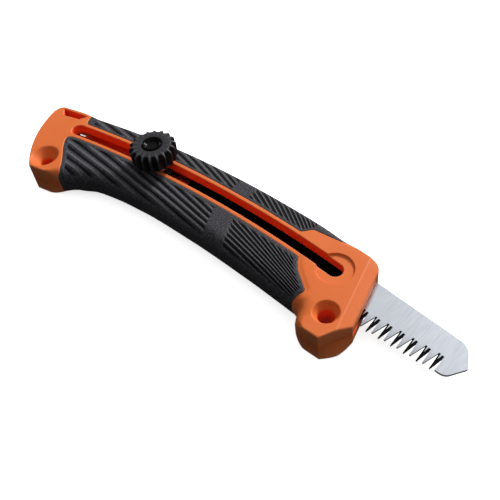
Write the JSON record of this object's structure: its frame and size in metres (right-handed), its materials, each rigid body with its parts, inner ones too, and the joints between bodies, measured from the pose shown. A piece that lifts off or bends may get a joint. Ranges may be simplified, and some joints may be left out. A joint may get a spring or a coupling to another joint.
{
  "type": "drywall saw",
  "caption": "Retractable drywall saw: a curved two-shell handle with soft grips, and a coarse toothed blade that slides out of the nose and is held by a clamp knob in a slot.",
  "frame": {"origin": "on the underside, below the front end of the knob slot's centreline", "axes": "+X towards the nose and the blade's tip, +Y towards the handle's back edge, +Z out of the face that has the slot and the knob"},
  "size_m": [0.2495, 0.0523, 0.0283],
  "materials": {
    "shell_plastic": "orange moulded plastic, satin, fine texture",
    "grip_rubber": "black soft overmould, matt, ribbed",
    "knob_plastic": "black moulded nylon, satin",
    "cap_plastic": "black, glossy",
    "slider_plastic": "black acetal",
    "pad_nylon": "natural nylon",
    "blade_steel": "cross-ground bright steel",
    "fastener_steel": "zinc-plated steel",
    "insert_brass": "turned brass"
  },
  "bodies": {
    "handle": {"top_shell": "shell_plastic", "bottom_shell": "shell_plastic", "top_back_grip": "grip_rubber", "bottom_back_grip": "grip_rubber", "top_belly_grip": "grip_rubber", "bottom_belly_grip": "grip_rubber", "upper_guide_pad": "pad_nylon", "lower_guide_pad": "pad_nylon", "shell_screw_1": "fastener_steel", "shell_screw_2": "fastener_steel", "shell_screw_3": "fastener_steel"},
    "carriage": {"slider": "slider_plastic", "clamp_plate": "fastener_steel", "clamp_bolt": "fastener_steel"},
    "blade": {"blade": "blade_steel"},
    "washer": {"thrust_washer": "fastener_steel", "spring_washer": "fastener_steel"},
    "knob": {"knob": "knob_plastic", "knob_insert": "insert_brass", "knob_cap": "cap_plastic"}
  },
  "joints": [
    {"name": "slot_travel", "type": "hinge", "parent": "handle", "child": "carriage", "pos_m": [-0.083, -0.59423, 0.008], "axis": [0, 0, -1], "range_deg": [-4.75, 10.38]},
    {"name": "blade_pivot", "type": "hinge", "parent": "carriage", "child": "blade", "pos_m": [-0.1086, 0.00522, 0.008], "axis": [0, 0, -1], "range_deg": [-5.41, 2.48]},
    {"name": "washer_lift", "type": "slide", "parent": "carriage", "child": "washer", "axis": [0, 0, 1], "range_m": [0, 0.00081]},
    {"name": "knob_turn", "type": "hinge", "parent": "washer", "child": "knob", "pos_m": [-0.1086, 0.00522, 0.02], "axis": [0, 0, 1], "range_deg": [0, 360]}
  ],
  "couplings": [
    {"joint": "blade_pivot", "follows": "slot_travel", "ratio": -0.52},
    {"joint": "washer_lift", "follows": "knob_turn", "m_per_rad": 0.00012732}
  ]
}
